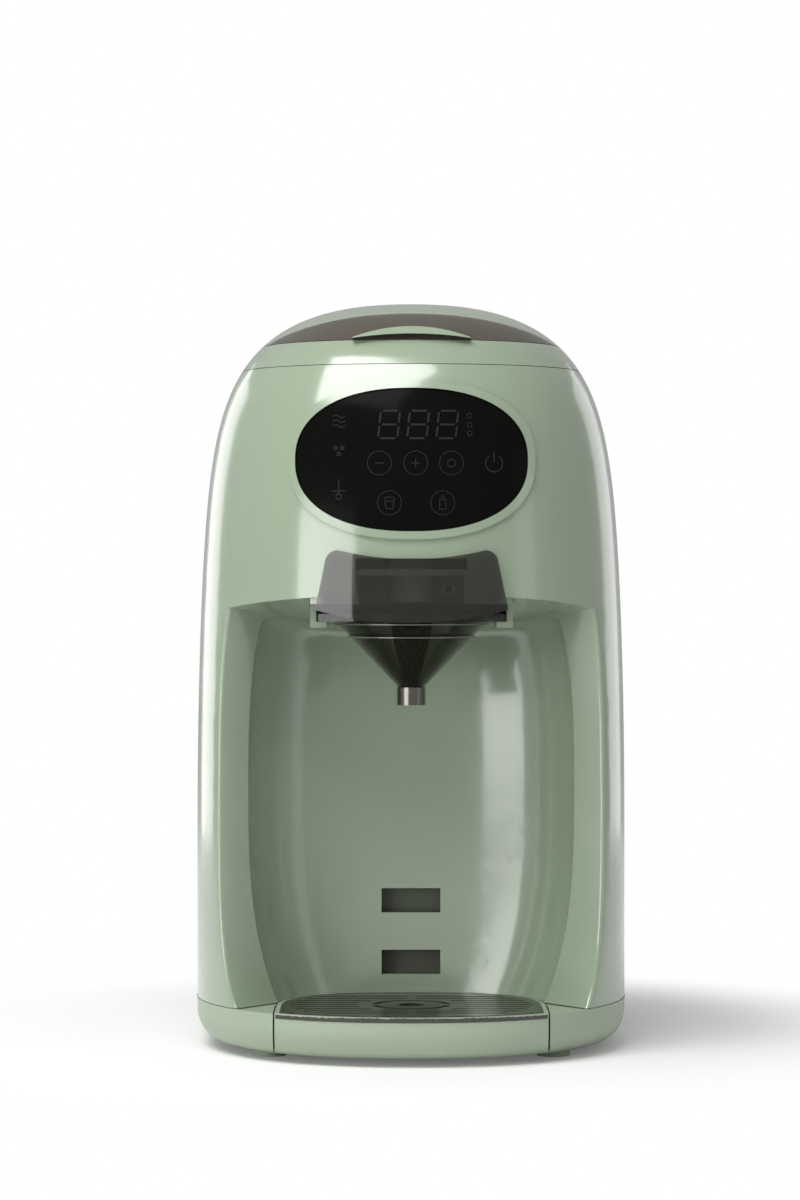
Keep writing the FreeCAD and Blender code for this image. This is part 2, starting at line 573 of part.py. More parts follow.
# Dispenser block: fills the nose, with the dark chute mouth and two rails for the funnel
block_body = casing_shape(size("wall + seam_gap")).common(
    slab(size("mouth_low"), size("block_high"), -170, size("block_rear"), size("block_half")))
block_body = block_body.cut(slab(size("mouth_low") - 1, size("mouth_high") - 8, -170, -80, size("mouth_half") - 1.5))
block_body = block_body.cut(slab(200, 260, -112, -84, 13))
block_body = block_body.cut(Part.makeCylinder(size("spout_radius + shaft_fit"), 60,
                                              V(size("spout_across"), -100, size("spout_height")), V(0, 1, 0)))
rail_front = size("rail_front")
for side in (-1, 1):
    far = size("block_half")
    near = far - 2.8
    wall_box = Part.makeBox(far - near, size("block_rear") - rail_front, size("mouth_low - rail_top + rail_thick") + 1,
                            V(near if side > 0 else -far, rail_front, size("rail_top - rail_thick")))
    rail_box = Part.makeBox(size("rail_width"), size("block_rear") - rail_front, size("rail_thick"),
                            V(far - size("rail_width") if side > 0 else -far, rail_front,
                              size("rail_top - rail_thick")))
    block_body = block_body.fuse(wall_box).fuse(rail_box)
block_body = block_body.common(casing_shape(size("wall + seam_gap")))
node("dispenser_block", solid("dispenser_block_form", block_body))
print("block", len(block_body.Solids), block_body.isValid())

# Funnel: flanged cone with a steel nozzle, and the smoked cover that closes the nose
flange_front = casing_shape(-size("cover_gap") + 0.15).common(
    slab(size("flange_low"), size("flange_low + flange_thick"), -170, size("block_rear") + 1.5,
         size("flange_half")))
funnel_y = size("dose_center - dose_pitch")
r_top, r_low, thin = size("funnel_radius"), size("funnel_mouth"), size("funnel_wall")
cone_out = Part.makeCone(r_low, r_top, size("flange_low - funnel_low"), V(0, funnel_y, size("funnel_low")))
cone_in = Part.makeCone(r_low - thin, r_top - thin, size("flange_low - funnel_low"),
                        V(0, funnel_y, size("funnel_low")))
spigot_low = size("nozzle_low") + 2
spigot = Part.makeCylinder(r_low, size("funnel_low") - spigot_low, V(0, funnel_y, spigot_low))
bore = Part.makeCylinder(r_low - thin, 60, V(0, funnel_y, spigot_low - 5))
funnel = flange_front.cut(Part.makeCylinder(r_top - thin, 20, V(0, funnel_y, size("flange_low") - 1)))
funnel = funnel.fuse(cone_out.cut(cone_in)).fuse(spigot).cut(bore)
node("funnel", solid("funnel_form", funnel))
print("funnel", len(funnel.Solids), funnel.isValid())
nozzle_out = rod("nozzle_out", "nozzle_radius", "nozzle_low", "funnel_low - 0.2", "0", "dose_center - dose_pitch")
nozzle_in = rod("nozzle_in", "funnel_mouth", "nozzle_low - 1", "funnel_low + 1", "0", "dose_center - dose_pitch")
node("funnel_nozzle", cut("funnel_nozzle_cut", nozzle_out, nozzle_in))


def bent(half, corner, middle, steps=6):
    """A shallow arc across the front, dipping at the middle, from left to right."""
    return [V(half * step / steps, -200, middle + (corner - middle) * (step / steps) ** 2)
            for step in range(-steps, steps + 1)]


low_edge = bent(size("cover_low_half"), size("cover_corner_low"), size("cover_mid_low"))
high_edge = bent(size("cover_top_half") - 6, size("cover_corner_top"), size("cover_mid_top"))[::-1]
shoulder_r = V(size("cover_top_half"), -200, size("cover_corner_top") - 6)
shoulder_l = V(-shoulder_r.x, -200, shoulder_r.z)
bow = 1.8
arc_r = Part.Arc(shoulder_r, V(shoulder_r.x - bow, -200, size("cover_corner_top") - bow), high_edge[0]).toShape()
arc_l = Part.Arc(high_edge[-1], V(shoulder_l.x + bow, -200, size("cover_corner_top") - bow), shoulder_l).toShape()
cover_wire = Part.Wire([curve_through(low_edge), Part.LineSegment(low_edge[-1], shoulder_r).toShape(), arc_r,
                        curve_through(high_edge), arc_l, Part.LineSegment(shoulder_l, low_edge[0]).toShape()])
cover_block = Part.Face(cover_wire).extrude(V(0, 110, 0))
cover = casing_shape(-size("cover_gap + cover_wall")).common(cover_block).cut(
    casing_shape(-size("cover_gap")))
node("funnel_cover", solid("funnel_cover_form", cover))
print("cover", len(cover.Solids), cover.isValid())

# Control panel: black lens in a raised bezel, with its board, display and touch springs
lens = casing_shape(-size("panel_proud")).common(oval_prism(0.0, -170, -100)).cut(
    casing_shape(size("panel_thick - panel_proud")))
node("panel_lens", solid("panel_lens_form", lens))
bezel = casing_shape(-size("bezel_proud")).common(
    oval_prism(size("bezel_width"), -170, -100).cut(oval_prism(size("seam_gap"), -170, -100))).cut(outer)
node("panel_bezel", solid("panel_bezel_form", bezel))
print("lens", len(lens.Solids), "bezel", len(bezel.Solids), bezel.isValid())
board_front = "plan_center - front_depth + 26"
node("control_board", box("control_board_box", ("-46", "46"), (board_front, board_front + " + board_thick"),
                          ("panel_height - 22", "panel_height + 22")))
node("digit_display", box("digit_display_box", ("-display_width / 2", "display_width / 2"),
                          (board_front + " - display_depth", board_front),
                          ("panel_height + 2", "panel_height + 2 + display_height")))
touches = []
for index in range(-1, 3):
    touches.append(rod("touch_%d" % (index + 1), "touch_radius", board_front + " - display_depth", board_front,
                       "%d * touch_pitch" % index, "panel_height - 6", "Y"))
for index in (-1, 1):
    touches.append(rod("touch_low_%d" % (index + 1), "touch_radius", board_front + " - display_depth + 1",
                       board_front, "%d * touch_pitch * 0.8" % index, "panel_height - 17", "Y"))
group("touch_springs", *touches)
posts = []
for side in (-1, 1):
    posts.append(box("post_%d" % (side + 1), ("%d * 40 - 3" % side, "%d * 40 + 3" % side),
                     (board_front + " + board_thick", board_front + " + board_thick + 8"),
                     ("panel_height - 6", "panel_height + 6")))
posts.append(box("post_bar", ("-43", "43"), (board_front + " + board_thick + 8", board_front + " + board_thick + 10"),
                 ("panel_height - 8", "panel_height + 8")))
node("board_bracket", fuse("board_bracket_fuse", *posts))

# Rear bay: the housing's back wall and shelf that dock the water tank
bay_out = casing_shape(size("wall + seam_gap")).common(
    slab(size("bay_floor - wall"), size("collar_low"), size("bay_front - wall"), 400, size("bay_half + wall")))
bay_out = bay_out.cut(slab(size("bay_floor"), 400, size("bay_front"), 400, size("bay_half")))
seat_bore = Part.makeCylinder(size("valve_radius") + 1.5, 60, V(0, size("valve_y"), 10))
node("rear_bay", solid("rear_bay_form", bay_out.cut(seat_bore)))
print("bay", len(bay_out.Solids), bay_out.isValid())
seat_out = rod("seat_out", "valve_radius + 1.4", "bay_floor - wall - 8", "bay_floor + 0.2", "0", "valve_y")
seat_in = rod("seat_in", "valve_bore", "bay_floor - wall - 12", "bay_floor + 4", "0", "valve_y")
node("tank_inlet_seat", cut("tank_inlet_seat_cut", seat_out, seat_in))

# Water tank: smoked clear vessel whose back is the housing's own curve, with a plug-in lid
gap = size("tank_gap")
tank_low = size("bay_floor + tank_lift")
tank_out = outer.common(slab(tank_low, size("tank_top"), size("bay_front") + gap, 400, size("bay_half") - gap))
thin = size("tank_wall")
tank_in = casing_shape(thin).common(slab(tank_low + thin, 400, size("bay_front") + gap + thin, 400,
                                         size("bay_half") - gap - thin))
tank_hole = Part.makeCylinder(size("valve_bore"), 20, V(0, size("valve_y"), tank_low - 5))
tank = tank_out.cut(tank_in).cut(tank_hole)
tank = crease(tank, 3.0, lambda e: e.BoundBox.ZLength > 250 and e.BoundBox.YLength < 1
              and abs(abs(e.CenterOfMass.x) - size("bay_half - tank_gap")) < 0.5)
node("water_tank", solid("water_tank_form", tank))
print("tank", len(tank.Solids), tank.isValid())
cap = outer.common(slab(size("tank_top + seam_gap"), 400, size("bay_front") + gap, 400, size("bay_half") - gap))
cap = cap.cut(casing_shape(thin).common(slab(size("tank_top + seam_gap + wall"), 400,
                                             size("bay_front") + gap + thin, 400,
                                             size("bay_half") - gap - thin)))
plug = casing_shape(thin + 0.4).common(slab(size("tank_top - tank_lid_plug"), size("tank_top + seam_gap") + 1,
                                            size("bay_front") + gap + thin + 0.4, 400,
                                            size("bay_half") - gap - thin - 0.4))
plug = plug.cut(casing_shape(thin + 2.4).common(slab(0, size("tank_top + seam_gap"), size("bay_front") + gap + thin + 2.4,
                                                    400, size("bay_half") - gap - thin - 2.4)))
tank_lid = cap.fuse(plug)
node("tank_lid", solid("tank_lid_form", tank_lid))
print("tank lid", len(tank_lid.Solids), tank_lid.isValid())
valve_top = "bay_floor + tank_lift + tank_wall"
node("valve_plunger", fuse("valve_plunger_fuse",
                           rod("valve_stem", "valve_rod", "bay_floor + 1.0", valve_top + " + 12", "0", "valve_y"),
                           rod("valve_disc", "valve_head", valve_top + " + 0.3", valve_top + " + 2.3", "0", "valve_y")))
cage = cut("valve_cage_cut", rod("cage_out", "valve_radius + 1", valve_top, valve_top + " + 18", "0", "valve_y"),
           rod("cage_in", "valve_radius - 0.6", valve_top + " - 1", valve_top + " + 16", "0", "valve_y"),
           rod("cage_bore", "valve_rod + shaft_fit", valve_top, valve_top + " + 30", "0", "valve_y"),
           box("cage_port", ("-20", "20"), ("valve_y - 3", "valve_y + 3"), (valve_top + " + 3", valve_top + " + 12")))
node("valve_cage", cage)

# Water path: pump, heater and hoses behind the niche, and the spout over the funnel
node("water_pump", fuse("water_pump_fuse",
                        rod("pump_can", "pump_radius", "pump_z", "pump_z + pump_length", "pump_x", "pump_y"),
                        rod("pump_inlet", "hose_bore", "pump_z - 6", "pump_z", "pump_x", "pump_y"),
                        rod("pump_outlet", "hose_bore", "pump_z + pump_length", "pump_z + pump_length + 6", "pump_x",
                            "pump_y")))
node("pump_cradle", cut("pump_cradle_cut",
                        box("cradle_block", ("pump_x - pump_radius - 4", "pump_x + pump_radius + 4"),
                            ("pump_y - 14", "pump_y + pump_radius + 4"),
                            ("foot_height + base_floor + 0.2", "pump_z + 12")),
                        rod("cradle_bore", "pump_radius + seam_gap", "pump_z - 0.3", "pump_z + 30", "pump_x", "pump_y"),
                        rod("cradle_hose", "hose_radius + 2", "foot_height", "pump_z + 5", "pump_x", "pump_y"),
                        box("cradle_way", ("pump_x - 6", "pump_x + 40"), ("pump_y - 6", "pump_y + 40"),
                            ("foot_height", "pump_z - 6"))))
heater_y = "pump_y + 2"
node("water_heater", fuse("water_heater_fuse",
                          rod("heater_can", "heater_radius", "heater_low", "heater_low + heater_length", "heater_x",
                              heater_y),
                          rod("heater_inlet", "hose_bore", "heater_low - 6", "heater_low", "heater_x", heater_y),
                          rod("heater_outlet", "hose_bore", "heater_low + heater_length",
                              "heater_low + heater_length + 6", "heater_x", heater_y)))
node("heater_stand", cut("heater_stand_cut",
                         box("stand_block", ("heater_x - heater_radius - 4", "heater_x + heater_radius + 4"),
                             (heater_y + " - 16", heater_y + " + heater_radius + 4"),
                             ("foot_height + base_floor + 0.2", "heater_low + 10")),
                         rod("stand_bore", "heater_radius + seam_gap", "heater_low - 0.3", "heater_low + 30",
                             "heater_x", heater_y),
                         rod("stand_hose", "hose_radius + 2", "foot_height", "heater_low + 5", "heater_x", heater_y),
                         box("stand_way", ("heater_x - 40", "heater_x + 6"), (heater_y + " - 6", heater_y + " + 6"),
                             ("foot_height", "heater_low - 6"))))
node("temperature_sensor", fuse("sensor_fuse",
                                box("sensor_foot", ("heater_x - 5", "heater_x + 5"),
                                    (heater_y + " - heater_radius - 2.2", heater_y + " - heater_radius - 0.1"),
                                    ("heater_low + heater_length - 30", "heater_low + heater_length - 18")),
                                rod("sensor_head", "2.4", heater_y + " - heater_radius - 6",
                                    heater_y + " - heater_radius - 2", "heater_x",
                                    "heater_low + heater_length - 24", "Y")))


def hose(name, points, radius, bend):
    """A hose on straight runs joined by tangent arcs."""
    edges = []
    start = points[0]
    for before, corner, after in zip(points, points[1:], points[2:]):
        back = (before - corner).normalize()
        on = (after - corner).normalize()
        reach = bend * math.tan((math.pi - back.getAngle(on)) / 2)
        enter, leave = corner + back * reach, corner + on * reach
        middle_way = (back + on).normalize()
        middle = corner + middle_way * (bend / math.sin(back.getAngle(on) / 2) - bend)
        edges.append(Part.LineSegment(start, enter).toShape())
        edges.append(Part.Arc(enter, middle, leave).toShape())
        start = leave
    edges.append(Part.LineSegment(start, points[-1]).toShape())
    path = Part.Wire(edges)
    first = (points[1] - points[0]).normalize()
    ring = [Part.Wire([Part.makeCircle(r, points[0], first)]) for r in (radius, size("hose_bore") + 0.05)]
    tube = path.makePipeShell([ring[0]], True, False).cut(path.makePipeShell([ring[1]], True, False))
    return solid(name, tube)


pump_x, pump_y, pump_z = size("pump_x"), size("pump_y"), size("pump_z")
heat_x, heat_y, heat_low = size("heater_x"), size(heater_y), size("heater_low")
heat_top = size("heater_low + heater_length")
hose_r = size("hose_radius")
valve_y = size("valve_y")
seat_low = size("bay_floor - wall") - 8
node("suction_hose", hose("suction_hose_form", [V(0, valve_y, seat_low - 0.3), V(0, valve_y, 15),
                                                V(pump_x, pump_y, 15), V(pump_x, pump_y, pump_z - 0.3)],
                          hose_r, 6.5))
pump_top = pump_z + size("pump_length")
node("feed_hose", hose("feed_hose_form", [V(pump_x, pump_y, pump_top + 0.3), V(pump_x, pump_y, pump_top + 22),
                                          V(0, pump_y, pump_top + 22), V(0, pump_y, 18),
                                          V(heat_x, heat_y, 18), V(heat_x, heat_y, heat_low - 0.3)], hose_r, 9))
spout_z = size("spout_height")
spout_x = size("spout_across")
node("hot_hose", hose("hot_hose_form", [V(heat_x, heat_y, heat_top + 0.3), V(heat_x, heat_y, spout_z),
                                        V(heat_x, -36, spout_z), V(spout_x, -36, spout_z),
                                        V(spout_x, size("block_rear") + 4, spout_z)], hose_r, 6.5))
node("water_spout", cut("water_spout_cut",
                        rod("spout_out", "spout_radius", "-90", "block_rear + 3.7", "spout_across", "spout_height", "Y"),
                        rod("spout_in", "spout_radius - spout_wall", "-91", "block_rear + 5", "spout_across",
                            "spout_height", "Y")))

# Power: board on the bay's wall and the inlet at the foot of the back
board_y = "bay_front - wall - seam_gap"
power_board = box("power_plate", ("-power_width / 2", "power_width / 2"), (board_y + " - 8 - board_thick", board_y + " - 8"),
                  ("power_low", "power_low + power_height"))
node("power_board", fuse("power_board_fuse", power_board,
                         box("transformer", ("-26", "2"), (board_y + " - 30", board_y + " - 8"),
                             ("power_low + 12", "power_low + 40")),
                         rod("capacitor", "7", "power_low + 50", "power_low + 74", "18", board_y + " - 16.4")))
standoffs = []
for side in (-1, 1):
    for level in ("power_low + 6", "power_low + power_height - 6"):
        standoffs.append(rod("standoff_%d" % len(standoffs), "3", board_y + " - 8", board_y,
                             "%d * (power_width / 2 - 6)" % side, level, "Y"))
group("board_standoffs", *standoffs)

# Mains inlet under the tank's shelf: a two-pin socket with nothing plugged in
inlet_gap = size("seam_gap")
inlet = casing_shape(0.4).common(slab(inlet_low + inlet_gap, inlet_low + size("inlet_height") - inlet_gap,
                                      size("inlet_rear - inlet_depth"), 200, size("inlet_half") - inlet_gap))
inlet = inlet.cut(Part.makeBox(18, 15, 6, V(-9, size("inlet_rear") - 13, inlet_low + 2)))
for side in (-1, 1):
    inlet = inlet.fuse(Part.makeCylinder(1.2, 10, V(side * 4.3, size("inlet_rear") - 14, inlet_low + 5), V(0, 1, 0)))
node("power_inlet", solid("power_inlet_form", inlet))

# Drive chassis: tray under the dosing plate that carries the motor, on posts from the block
chassis = box("chassis_plate", ("-50", "50"), ("dose_center - 28", "dose_center + 54"), ("gear_low - 1.8", "gear_low - 0.4"))
chassis_posts = []
for index, (x, y, low) in enumerate(((-44, "dose_center - 22", "block_high + 0.2"),
                                     (44, "dose_center - 22", "block_high + 0.2"),
                                     (-44, "dose_center + 28", "gear_low - 1.8"),
                                     (44, "dose_center + 28", "gear_low - 1.8"))):
    chassis_posts.append(rod("chassis_post_%d" % index, "3", low, "dose_low - running_gap - plate_thick - 0.2",
                             str(x), y))
chassis_whole = fuse("chassis_whole", chassis, *chassis_posts)
node("drive_chassis", cut("drive_chassis_cut", chassis_whole,
                          rod("chassis_spindle", "spindle_radius + shaft_fit", "gear_low - 9", "gear_low + 2", "0", "dose_center"),
                          rod("chassis_shaft", "motor_shaft + 1", "gear_low - 9", "gear_low + 2", "0", gear_place)))

# Six rubber feet under the pan
feet = []
for index, (x, y) in enumerate(((-68, -96), (68, -96), (-80, 10), (80, 10), (-60, 118), (60, 118))):
    feet.append(rod("foot_%d" % index, "foot_radius", "0", "foot_height", str(x), str(y)))
group("rubber_feet", *feet)

doc.recompute()
bad = [item.Label for item in doc.Objects if {"Invalid", "Error"} & set(item.State)]
bad += [item.Label for item in nodes if item.Shape.isNull() or not item.Shape.isValid()]
if bad:
    raise SystemExit("broken: " + ", ".join(sorted(set(bad))))
os.makedirs("parts", exist_ok=True)
for item in nodes:
    item.Shape.exportStep("parts/" + item.Label + ".step")
    print(item.Label, len(item.Shape.Solids), round(item.Shape.Volume))
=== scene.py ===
import math

import bmesh
import bpy
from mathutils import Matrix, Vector
from mathutils.bvhtree import BVHTree


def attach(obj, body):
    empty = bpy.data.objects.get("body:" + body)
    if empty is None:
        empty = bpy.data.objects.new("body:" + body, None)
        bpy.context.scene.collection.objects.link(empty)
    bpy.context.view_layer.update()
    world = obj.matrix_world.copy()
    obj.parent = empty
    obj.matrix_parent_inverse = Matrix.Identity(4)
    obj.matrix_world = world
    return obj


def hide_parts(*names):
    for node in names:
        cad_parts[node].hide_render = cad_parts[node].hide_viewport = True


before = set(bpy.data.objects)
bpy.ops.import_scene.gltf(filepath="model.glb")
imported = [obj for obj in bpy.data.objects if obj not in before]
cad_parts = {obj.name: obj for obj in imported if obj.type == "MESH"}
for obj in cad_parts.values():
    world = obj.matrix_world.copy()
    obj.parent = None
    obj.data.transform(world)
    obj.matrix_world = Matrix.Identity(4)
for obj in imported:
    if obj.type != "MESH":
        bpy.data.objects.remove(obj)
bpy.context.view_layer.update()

# Housing: the shell with the bottle niche, the collar under the lid, the rear cover, the tank's
# bay, the block behind the nose and the panel's rim. All are injection mouldings in one polished
# sage-green plastic, coloured right through, that meet at fine seams.


class Wire:
    """A shader socket that takes part in plain Python sums."""

    def __init__(self, finish, socket):
        self.finish = finish
        self.socket = socket

    def sum(self, operation, other):
        return self.finish.node("ShaderNodeMath", {"operation": operation}, {0: self, 1: other})

    def __add__(self, other):
        return self.sum("ADD", other)

    def __mul__(self, other):
        return self.sum("MULTIPLY", other)


class Finish:
    """One procedural material, built on the Principled shader."""

    def __init__(self, name, **constants):
        self.material = bpy.data.materials.new(name)
        self.material.use_nodes = True
        self.tree = self.material.node_tree
        self.shader = self.tree.nodes["Principled BSDF"]
        for socket, value in constants.items():
            self.shader.inputs[socket.replace("_", " ")].default_value = value
        place = self.tree.nodes.new("ShaderNodeTexCoord")
        self.place = Wire(self, place.outputs["Object"])

    def node(self, kind, settings, sockets, output=0):
        """Add a node, with its input sockets set to plain values or joined to wires."""
        item = self.tree.nodes.new(kind)
        for key, value in settings.items():
            setattr(item, key, value)
        for key, value in sockets.items():
            if isinstance(value, Wire):
                self.tree.links.new(value.socket, item.inputs[key])
            else:
                item.inputs[key].default_value = value
        return Wire(self, item.outputs[output])

    def grain(self, scale, detail=2.0, stretch=(1, 1, 1)):
        """Noise over the piece; a stretch below 1 draws it out along that axis."""
        spot = self.node("ShaderNodeMapping", {}, {"Vector": self.place, "Scale": stretch})
        return self.node("ShaderNodeTexNoise", {}, {"Vector": spot, "Scale": scale, "Detail": detail})

    def tint(self, amount, low, high):
        """Base colour between two colours, by the Mix node's colour sockets 6 and 7."""
        colour = self.node("ShaderNodeMix", {"data_type": "RGBA"}, {0: amount, 6: low, 7: high}, 2)
        self.feed("Base Color", colour)

    def feed(self, socket, wire):
        self.tree.links.new(wire.socket, self.shader.inputs[socket])

    def bump(self, height, strength, distance):
        sockets = {"Height": height, "Strength": strength, "Distance": distance}
        self.feed("Normal", self.node("ShaderNodeBump", {}, sockets))


def shade(colour, factor):
    return tuple(channel * factor for channel in colour) + (1.0,)


def moulded(name, colour, roughness, relief=0.00002, grain=900.0, **constants):
    """Moulded plastic: faint drift of colour, uneven gloss and a fine orange-peel relief."""
    drift_spread = 0.05
    drift_scale = 14.0
    gloss_scale = 60.0
    gloss_floor = 0.82
    gloss_swing = 0.35
    peel_strength = 0.25
    finish = Finish(name, **constants)
    drift = finish.grain(drift_scale)
    finish.tint(drift, shade(colour, 1 - drift_spread), shade(colour, 1 + drift_spread))
    uneven = finish.grain(gloss_scale, 3.0) * (roughness * gloss_swing)
    finish.feed("Roughness", uneven + roughness * gloss_floor)
    finish.bump(finish.grain(grain, 1.0), peel_strength, relief)
    return finish.material


def skin(name, material, body):
    """A smooth-shaded copy that stands in for a CAD node, with its sharp edges kept sharp."""
    crease = math.radians(28.0)
    doubles_within = 0.000002
    slivers_within = 0.000001
    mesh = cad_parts[name].data.copy()
    mesh.name = name + "_skin"
    piece = bpy.data.objects.new(name + "_skin", mesh)
    bpy.context.scene.collection.objects.link(piece)
    form = bmesh.new()
    form.from_mesh(mesh)
    bmesh.ops.remove_doubles(form, verts=form.verts, dist=doubles_within)
    bmesh.ops.dissolve_degenerate(form, edges=form.edges, dist=slivers_within)
    for face in form.faces:
        face.smooth = True
    for edge in form.edges:
        edge.smooth = len(edge.link_faces) == 2 and edge.calc_face_angle(0.0) < crease
    form.to_mesh(mesh)
    form.free()
    if mesh.attributes.get("custom_normal"):
        mesh.attributes.remove(mesh.attributes["custom_normal"])
    mesh.materials.clear()
    mesh.materials.append(material)
    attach(piece, body)
    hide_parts(name)


SAGE = (0.250, 0.315, 0.222)
sage_gloss = moulded("sage_gloss", SAGE, 0.2, Coat_Weight=0.8, Coat_Roughness=0.11, Coat_IOR=1.6, IOR=1.5)
for part in ("dispenser_block", "body_shell", "top_collar", "rear_cover", "rear_bay", "panel_bezel"):
    skin(part, sage_gloss, "housing")

# Sockets: two open pockets behind the slots in the niche's back wall, which the tray can hook
# into. They are unpolished plastic, coloured a darkened green that paints the deep shade inside them.
SOCKET_PAINTED_SHADE = (0.085, 0.100, 0.068)
socket_painted_shade = moulded("socket_painted_shade", SOCKET_PAINTED_SHADE, 0.5)
skin("tray_hook_sockets", socket_painted_shade, "housing")

# Base ring and drip tray: the same green in a satin moulded face. The ring closes the housing
# from below, and the tray slides into its front.
SATIN = (0.315, 0.380, 0.280)
sage_satin = moulded("sage_satin", SATIN, 0.36, relief=0.00004, grain=2600.0, IOR=1.48)
skin("base_pan", sage_satin, "housing")
skin("drip_tray", sage_satin, "tray")

# Feet: six stubs of soft rubber pressed up into the base, in a green near the ring's own.
FOOT_GREEN = (0.30, 0.36, 0.28)
foot_rubber = moulded("foot_rubber", FOOT_GREEN, 0.62, relief=0.00006, grain=1800.0)
skin("rubber_feet", foot_rubber, "housing")

# Decks: two thin satin strips of the base, one at each side of the drip tray. Each is 1 mm thick
# and runs level from near the tray's side wall to just inside the ring.
DECK_TOP = 0.0235
DECK_UNDERSIDE = 0.0225
DECK_BACK = -0.052
DECK_PITCH = 0.0036
DECK_ROWS = 26
DECK_NARROWEST = 0.0005
TRAY_SIGHT = 0.021
TRAY_GAP = 0.0009
RING_GAP = 0.0015
OUTSIDE = 0.2


def skin_tree(name):
    """A search tree over a CAD node's surface, to seat trim on it."""
    form = bmesh.new()
    form.from_mesh(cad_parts[name].data)
    tree = BVHTree.FromBMesh(form)
    form.free()
    return tree


def strip_piece(name, rows, material, body):
    """A closed band: each row holds the four corners of its cross-section, in metres."""
    form = bmesh.new()
    loops = [[form.verts.new(corner) for corner in row] for row in rows]
    for near, far in zip(loops, loops[1:]):
        for index in range(4):
            after = (index + 1) % 4
            form.faces.new((near[index], near[after], far[after], far[index]))
    form.faces.new(loops[0][::-1])
    form.faces.new(loops[-1])
    bmesh.ops.recalc_face_normals(form, faces=form.faces)
    mesh = bpy.data.meshes.new(name)
    form.to_mesh(mesh)
    form.free()
    mesh.materials.append(material)
    piece = bpy.data.objects.new(name, mesh)
    bpy.context.scene.collection.objects.link(piece)
    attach(piece, body)


tray_tree = skin_tree("drip_tray")
ring_tree = skin_tree("base_pan")
for side, label in ((-1, "deck_left"), (1, "deck_right")):
    inward = Vector((-side, 0, 0))
    rows = []
    for step in range(DECK_ROWS):
        y = DECK_BACK - step * DECK_PITCH
        tray_hit = tray_tree.ray_cast(Vector((side * OUTSIDE, y, TRAY_SIGHT)), inward)[0]
        ring_hit = ring_tree.ray_cast(Vector((side * OUTSIDE, y, DECK_UNDERSIDE)), inward)[0]
        if tray_hit and ring_hit:
            near = tray_hit.x + side * TRAY_GAP
            far = ring_hit.x - side * RING_GAP
            if (far - near) * side > DECK_NARROWEST:
                rows.append([(near, y, DECK_TOP), (far, y, DECK_TOP),
                             (far, y, DECK_UNDERSIDE), (near, y, DECK_UNDERSIDE)])
    strip_piece(label, rows, sage_satin, "housing")

# Grille: a slotted plate of dark smoked plastic with a polished face. It drops into the tray and
# lifts out for washing.
SMOKED_PLATE = (0.030, 0.033, 0.022)
smoked_plate = moulded("smoked_plate", SMOKED_PLATE, 0.22, IOR=1.33)
skin("tray_grille", smoked_plate, "grille")

# Grille's front edge: the plate's lip, a dark glossy band along the top of the tray's front. It is
# 2.3 mm high, follows the tray's curve and lifts out with the grille.
LIP_BLACK = (0.020, 0.021, 0.014)
LIP_LOW = 0.0216
LIP_HIGH = 0.0239
LIP_SIGHT = 0.0225
LIP_PROUD = 0.00012
LIP_DEEP = 0.0010
LIP_LEFT = -0.0640
LIP_PITCH = 0.0032
LIP_ROWS = 41
TRAY_FRONT = -0.12
edge_dark = moulded("edge_dark", LIP_BLACK, 0.12, relief=0.0, Coat_Weight=0.6)
rows = []
for step in range(LIP_ROWS):
    x = LIP_LEFT + step * LIP_PITCH
    hit = tray_tree.ray_cast(Vector((x, -OUTSIDE, LIP_SIGHT)), Vector((0, 1, 0)))[0]
    if hit and hit.y < TRAY_FRONT:
        face = hit.y - LIP_PROUD
        back = hit.y + LIP_DEEP
        rows.append([(x, face, LIP_LOW), (x, face, LIP_HIGH), (x, back, LIP_HIGH), (x, back, LIP_LOW)])
strip_piece("grille_edge", rows, edge_dark, "grille")

# Powder lid: a dome frame and a crescent grip in the housing's own polished green.
# It closes over the bin and swings up at the back.
skin("lid_frame", sage_gloss, "powder_lid")
skin("lid_grip", sage_gloss, "powder_lid")

# Lid's window: a smoked brown moulding set in the front of the dome. The powder's level can be
# seen through it.


def smoked(name, colour, alpha, coat=0.4):
    """Tinted clear plastic, drawn by its alpha, with a faint drift of its tint."""
    drift_scale = 22.0
    drift_spread = 0.15
    gloss_scale = 80.0
    gloss_swing = 0.03
    gloss_floor = 0.05
    finish = Finish(name, Alpha=alpha, IOR=1.5, Coat_Weight=coat)
    drift = finish.grain(drift_scale)
    finish.tint(drift, shade(colour, 1 - drift_spread), shade(colour, 1 + drift_spread))
    finish.feed("Roughness", finish.grain(gloss_scale) * gloss_swing + gloss_floor)
    return finish.material


WINDOW_BROWN = (0.085, 0.072, 0.055)
smoke_brown = smoked("smoke_brown", WINDOW_BROWN, 0.80)
skin("lid_window", smoke_brown, "powder_lid")

# Steel works: the lid's pin, the water spout, the shafts, the motor's and the heater's cans, the
# sensor and the touch springs. They are turned or drawn steel, with fine level streaks in the gloss.


def metal(name, colour, roughness, stretch):
    """Turned or drawn metal: streaks run one way in the gloss."""
    streak_scale = 300.0
    streak_swing = 0.12
    finish = Finish(name, Metallic=1.0)
    streak = finish.grain(streak_scale, 3.0, stretch)
    finish.tint(streak, shade(colour, 0.85), shade(colour, 1.1))
    finish.feed("Roughness", streak * streak_swing + roughness)
    return finish.material


STEEL = (0.62, 0.60, 0.57)
ROUND_THE_AXIS = (0.2, 0.2, 6)
steel = metal("turned_steel", STEEL, 0.10, ROUND_THE_AXIS)
steel_works = {
    "lid_pin": "housing",
    "water_spout": "housing",
    "dosing_motor": "housing",
    "water_heater": "housing",
    "temperature_sensor": "housing",
    "touch_springs": "housing",
    "motor_shaft": "motor_rotor",
    "drive_spindle": "dosing_drive",
}
for part, body in steel_works.items():
    skin(part, steel, body)

